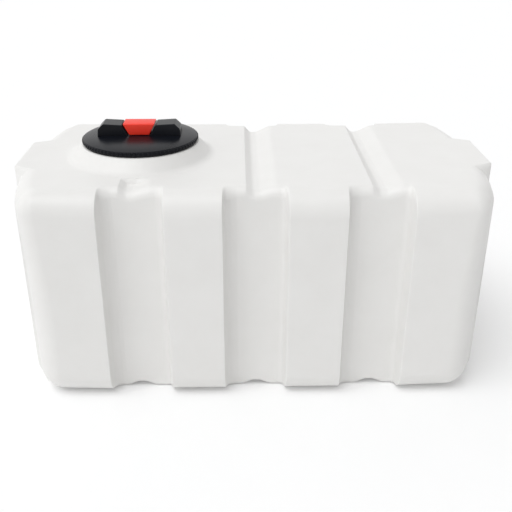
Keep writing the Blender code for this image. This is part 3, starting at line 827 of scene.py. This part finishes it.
def newGroup(name, inputs, outputs):
    group = bpy.data.node_groups.new(name, "ShaderNodeTree")
    for socket, kind, value in inputs:
        made = group.interface.new_socket(socket, in_out="INPUT", socket_type=kind)
        if value is not None:
            made.default_value = value
    for socket, kind in outputs:
        group.interface.new_socket(socket, in_out="OUTPUT", socket_type=kind)
    start = group.nodes.new("NodeGroupInput")
    end = group.nodes.new("NodeGroupOutput")
    return group, start, end


def mathNode(tree, operation, first, second=None):
    made = tree.nodes.new("ShaderNodeMath")
    made.operation = operation
    for socket, value in zip(made.inputs, (first, second)):
        if value is None:
            continue
        if isinstance(value, (int, float)):
            socket.default_value = value
        else:
            tree.links.new(value, socket)
    return made.outputs[0]


def noiseNode(tree, vector, scale, detail=2.0, roughness=0.5):
    made = tree.nodes.new("ShaderNodeTexNoise")
    made.inputs["Detail"].default_value = detail
    made.inputs["Roughness"].default_value = roughness
    tree.links.new(vector, made.inputs["Vector"])
    if isinstance(scale, (int, float)):
        made.inputs["Scale"].default_value = scale
    else:
        tree.links.new(scale, made.inputs["Scale"])
    return made.outputs["Fac"]


def rangeOf(tree, value, low, high, fromLow=0.25, fromHigh=0.75):
    made = tree.nodes.new("ShaderNodeMapRange")
    made.inputs["From Min"].default_value = fromLow
    made.inputs["From Max"].default_value = fromHigh
    made.inputs["To Min"].default_value = low
    made.inputs["To Max"].default_value = high
    tree.links.new(value, made.inputs["Value"])
    return made.outputs["Result"]


# the skin of a moulding: fine grain, slow waves of the wall, cloudy tone
mouldSkin, start, end = newGroup(
    "mouldSkin",
    [
        ("Vector", "NodeSocketVector", None),
        ("Grain Scale", "NodeSocketFloat", 900.0),
        ("Grain Depth", "NodeSocketFloat", 0.00001),
        ("Wave Scale", "NodeSocketFloat", 7.0),
        ("Wave Depth", "NodeSocketFloat", 0.0006),
    ],
    [("Height", "NodeSocketFloat"), ("Cloud", "NodeSocketFloat")],
)
grain = noiseNode(mouldSkin, start.outputs["Vector"], start.outputs["Grain Scale"], 3.0)
wave = noiseNode(mouldSkin, start.outputs["Vector"], start.outputs["Wave Scale"], 1.0)
cloud = noiseNode(mouldSkin, start.outputs["Vector"], 11.0, 4.0, 0.6)
height = mathNode(
    mouldSkin, "ADD",
    mathNode(mouldSkin, "MULTIPLY", grain, start.outputs["Grain Depth"]),
    mathNode(mouldSkin, "MULTIPLY", wave, start.outputs["Wave Depth"]),
)
mouldSkin.links.new(height, end.inputs["Height"])
mouldSkin.links.new(cloud, end.inputs["Cloud"])

# thin rubs and scratches from handling, as a mask
rubMarks, start, end = newGroup(
    "rubMarks",
    [("Vector", "NodeSocketVector", None), ("Scale", "NodeSocketFloat", 1.0)],
    [("Mask", "NodeSocketFloat")],
)
marks = []
for turn, stretch in (((0.3, 0.2, 0.5), (9.0, 260.0, 60.0)), ((0.9, -0.4, -0.7), (240.0, 12.0, 50.0))):
    mapping = rubMarks.nodes.new("ShaderNodeMapping")
    mapping.inputs["Rotation"].default_value = turn
    mapping.inputs["Scale"].default_value = stretch
    rubMarks.links.new(start.outputs["Vector"], mapping.inputs["Vector"])
    lines = noiseNode(rubMarks, mapping.outputs["Vector"], start.outputs["Scale"], 2.0)
    marks.append(rangeOf(rubMarks, lines, 0.0, 1.0, 0.63, 0.76))  # only the peaks are left
patch = noiseNode(rubMarks, start.outputs["Vector"], 4.0, 2.0)
patches = rangeOf(rubMarks, patch, 0.0, 1.0, 0.45, 0.7)
mask = mathNode(rubMarks, "MULTIPLY", mathNode(rubMarks, "MAXIMUM", *marks), patches)
rubMarks.links.new(mask, end.inputs["Mask"])
print("shader groups")


# finishes

def newFinish(name, **plain):
    material = bpy.data.materials.new(name)
    material.use_nodes = True
    tree = material.node_tree
    tree.nodes.clear()
    out = tree.nodes.new("ShaderNodeOutputMaterial")
    shader = tree.nodes.new("ShaderNodeBsdfPrincipled")
    tree.links.new(shader.outputs["BSDF"], out.inputs["Surface"])
    for socket, value in plain.items():
        shader.inputs[socket.replace("_", " ")].default_value = value
    spot = tree.nodes.new("ShaderNodeTexCoord").outputs["Object"]
    return material, tree, shader, spot


def placeGroup(tree, group, spot, **values):
    made = tree.nodes.new("ShaderNodeGroup")
    made.node_tree = group
    tree.links.new(spot, made.inputs["Vector"])
    for socket, value in values.items():
        made.inputs[socket.replace("_", " ")].default_value = value
    return made


def toneBetween(tree, shader, factor, dark, light):
    mix = tree.nodes.new("ShaderNodeMix")
    mix.data_type = "RGBA"
    mix.inputs["A"].default_value = (*dark, 1)
    mix.inputs["B"].default_value = (*light, 1)
    tree.links.new(factor, mix.inputs["Factor"])
    tree.links.new(mix.outputs["Result"], shader.inputs["Base Color"])


def bumpInto(tree, shader, height, strength=1.0, distance=1.0):
    bump = tree.nodes.new("ShaderNodeBump")
    bump.inputs["Strength"].default_value = strength
    bump.inputs["Distance"].default_value = distance
    tree.links.new(height, bump.inputs["Height"])
    tree.links.new(bump.outputs["Normal"], shader.inputs["Normal"])


def mouldedFinish(name, dark, light, rough, grain, wave, rubs, **plain):
    # grain and wave are (scale, depth), rough runs from low to high, rubs add to it
    material, tree, shader, spot = newFinish(name, **plain)
    skin = placeGroup(
        tree, mouldSkin, spot,
        Grain_Scale=grain[0], Grain_Depth=grain[1], Wave_Scale=wave[0], Wave_Depth=wave[1],
    )
    marks = placeGroup(tree, rubMarks, spot)
    toneBetween(tree, shader, rangeOf(tree, skin.outputs["Cloud"], 0.0, 1.0), dark, light)
    worn = mathNode(tree, "MULTIPLY", marks.outputs["Mask"], rubs)
    roughness = mathNode(tree, "ADD", rangeOf(tree, skin.outputs["Cloud"], *rough), worn)
    tree.links.new(roughness, shader.inputs["Roughness"])
    bumpInto(tree, shader, skin.outputs["Height"])
    return material


whitePolyethylene = mouldedFinish(
    "whitePolyethylene", (0.806, 0.798, 0.780), (0.834, 0.827, 0.811), (0.40, 0.48),
    (700.0, 0.000012), (6.0, 0.0009), 0.12,
)
blackPolypropylene = mouldedFinish(
    "blackPolypropylene", (0.0036, 0.0043, 0.0070), (0.0060, 0.0070, 0.0106), (0.26, 0.33),
    (1500.0, 0.000004), (20.0, 0.00010), 0.12, Specular_IOR_Level=0.15,
)
redPlastic = mouldedFinish(
    "redPlastic", (0.910, 0.036, 0.017), (0.950, 0.046, 0.022), (0.34, 0.42),
    (1800.0, 0.000006), (24.0, 0.00008), 0.10, Specular_IOR_Level=0.30,
)
paleAcetal = mouldedFinish(
    "paleAcetal", (0.66, 0.65, 0.60), (0.70, 0.69, 0.65), (0.38, 0.46),
    (1800.0, 0.000006), (24.0, 0.00006), 0.08,
)
blackRubber = mouldedFinish(
    "blackRubber", (0.012, 0.012, 0.012), (0.018, 0.018, 0.018), (0.68, 0.80),
    (1200.0, 0.00002), (24.0, 0.0001), 0.05,
)

# turned brass: rings round the outlet's axis
turnedBrass, tree, shader, spot = newFinish("turnedBrass", Metallic=1.0)
centre = tree.nodes.new("ShaderNodeMapping")
centre.inputs["Location"].default_value = (0, 0, -outlet["height"])
centre.inputs["Scale"].default_value = (0.25, 1, 1)
tree.links.new(spot, centre.inputs["Vector"])
rings = tree.nodes.new("ShaderNodeVectorMath")
rings.operation = "LENGTH"
tree.links.new(centre.outputs["Vector"], rings.inputs[0])
swing = mathNode(tree, "SINE", mathNode(tree, "MULTIPLY", rings.outputs["Value"], 14000.0))
skin = placeGroup(
    tree, mouldSkin, spot, Grain_Scale=400.0, Grain_Depth=0.00001, Wave_Scale=60.0, Wave_Depth=0.00002
)
toneBetween(tree, shader, skin.outputs["Cloud"], (0.58, 0.40, 0.15), (0.74, 0.55, 0.25))
tree.links.new(rangeOf(tree, skin.outputs["Cloud"], 0.22, 0.40), shader.inputs["Roughness"])
bumpInto(tree, shader, swing, 0.25, 0.00002)

# plain stainless: fine brushing
brushedSteel, tree, shader, spot = newFinish("brushedSteel", Metallic=1.0)
brush = tree.nodes.new("ShaderNodeMapping")
brush.inputs["Scale"].default_value = (3000.0, 120.0, 300.0)
tree.links.new(spot, brush.inputs["Vector"])
hairs = noiseNode(tree, brush.outputs["Vector"], 1.0, 3.0)
toneBetween(tree, shader, hairs, (0.52, 0.52, 0.52), (0.66, 0.66, 0.66))
tree.links.new(rangeOf(tree, hairs, 0.25, 0.42), shader.inputs["Roughness"])
bumpInto(tree, shader, hairs, 0.3, 0.00002)
print("finishes")

settle(body, "tank_body", whitePolyethylene, "tank", "white_polyethylene", "tank_shell")
settle(lidDisc, "lid_disc", blackPolypropylene, "lid", "black_polypropylene", "lid_cover")
settle(ventCap, "vent_button", redPlastic, "vent", "red_plastic", "vent_cap")
settle(bush, "outlet_sleeve", turnedBrass, "tank", "brass", "outlet_bush")
settle(plug, "outlet_screw", blackPolypropylene, "plug", "black_polypropylene", "outlet_plug")

cadFinishes = {
    "neck_ring": blackPolypropylene,
    "neck_seal": blackRubber,
    "lid_gasket": blackRubber,
    "vent_stem": paleAcetal,
    "vent_screen": paleAcetal,
    "vent_retainer": paleAcetal,
    "vent_seal": blackRubber,
    "outlet_plug_seal": blackRubber,
}
for name, obj in nodes.items():
    if name.startswith("neck_screw"):
        cadFinishes[name] = brushedSteel
    if name in cadFinishes:
        obj.data.materials.clear()
        obj.data.materials.append(cadFinishes[name])
print("pieces settled on their bodies")


# floor, light and camera

studio = {
    "floorSize": 60.0,
    "floorDrop": 0.0005,
    "floorTone": 0.98,
    "floorCloud": 0.004,
    "floorGlow": 0.16,  # share of plain white the camera sees in the floor
    "worldStrength": 0.62,
    "worldLean": (-0.60, 0.24, 0.20),  # the studio is brighter to the left and above
    "worldTop": 1.30,  # and no brighter than this
    "sunStrength": 1.25,
    "sunColour": (0.98, 0.99, 1.0),
    "sunAngle": 40,
    "sunFrom": (-0.31, -0.28, 0.87),
}


def whiteRays(tree, rays):
    # the rays that show the plain white surroundings: the camera's, and those of gloss and glass
    shiny = mathNode(tree, "MAXIMUM", rays.outputs["Is Glossy Ray"], rays.outputs["Is Transmission Ray"])
    return mathNode(tree, "MAXIMUM", rays.outputs["Is Camera Ray"], shiny)


selectNothing()
bpy.ops.mesh.primitive_plane_add(size=studio["floorSize"], location=(0, 0, -studio["floorDrop"]))
floor = bpy.context.object
floor.name = "floor"
material, tree, shader, spot = newFinish("floorPaper", Roughness=0.9)
paper = noiseNode(tree, spot, 3.0)
tone, cloudy = studio["floorTone"], studio["floorCloud"]
toneBetween(tree, shader, paper, (tone - cloudy,) * 3, (tone + cloudy,) * 3)
white = tree.nodes.new("ShaderNodeEmission")
rays = tree.nodes.new("ShaderNodeLightPath")
blend = tree.nodes.new("ShaderNodeMixShader")
share = mathNode(tree, "MULTIPLY", whiteRays(tree, rays), studio["floorGlow"])
tree.links.new(share, blend.inputs["Fac"])
tree.links.new(shader.outputs["BSDF"], blend.inputs[1])
tree.links.new(white.outputs["Emission"], blend.inputs[2])
out = next(node for node in tree.nodes if node.type == "OUTPUT_MATERIAL")
tree.links.new(blend.outputs["Shader"], out.inputs["Surface"])
floor.data.materials.append(material)

world = bpy.data.worlds.new("studio")
bpy.context.scene.world = world
world.use_nodes = True
tree = world.node_tree
tree.nodes.clear()
out = tree.nodes.new("ShaderNodeOutputWorld")
light = tree.nodes.new("ShaderNodeBackground")
light.inputs["Color"].default_value = (1.0, 1.0, 1.0, 1)
around = tree.nodes.new("ShaderNodeTexCoord")
lean = tree.nodes.new("ShaderNodeVectorMath")
lean.operation = "DOT_PRODUCT"
lean.inputs[1].default_value = studio["worldLean"]
tree.links.new(around.outputs["Generated"], lean.inputs[0])
share = mathNode(tree, "MINIMUM", mathNode(tree, "ADD", lean.outputs["Value"], 1.0), studio["worldTop"])
level = mathNode(tree, "MULTIPLY", share, studio["worldStrength"])
tree.links.new(level, light.inputs["Strength"])
seen = tree.nodes.new("ShaderNodeBackground")
seen.inputs["Color"].default_value = (1.0, 1.0, 1.0, 1)
seen.inputs["Strength"].default_value = 1.0
rays = tree.nodes.new("ShaderNodeLightPath")
mix = tree.nodes.new("ShaderNodeMixShader")
tree.links.new(whiteRays(tree, rays), mix.inputs["Fac"])
tree.links.new(light.outputs["Background"], mix.inputs[1])
tree.links.new(seen.outputs["Background"], mix.inputs[2])
tree.links.new(mix.outputs["Shader"], out.inputs["Surface"])

bpy.ops.object.light_add(type="SUN", location=(-2, -1, 4))
sun = bpy.context.object
sun.data.energy = studio["sunStrength"]
sun.data.color = studio["sunColour"]
sun.data.angle = math.radians(studio["sunAngle"])
sun.rotation_euler = (-Vector(studio["sunFrom"])).to_track_quat("-Z", "Y").to_euler()

camera = {
    "spot": (-0.0371, -1.8590, 1.1522),
    "tilt": 0.4538,
    "yaw": -0.02334,
    "roll": 0.0021,
    "focal": 736.4,  # in pixels of the frame
    "frame": 512,
    "sensor": 36.0,
    "farClip": 200.0,
}
bpy.ops.object.camera_add(location=camera["spot"])
cam = bpy.context.object
look = (
    Matrix.Rotation(camera["yaw"], 3, "Z")
    @ Matrix.Rotation(math.pi / 2 - camera["tilt"], 3, "X")
    @ Matrix.Rotation(camera["roll"], 3, "Z")
)
cam.rotation_euler = look.to_euler()
cam.data.sensor_width = camera["sensor"]
cam.data.lens = camera["focal"] / camera["frame"] * camera["sensor"]
cam.data.clip_end = camera["farClip"]
bpy.context.scene.camera = cam
bpy.context.scene.view_settings.view_transform = "Standard"
print("floor, light and camera")
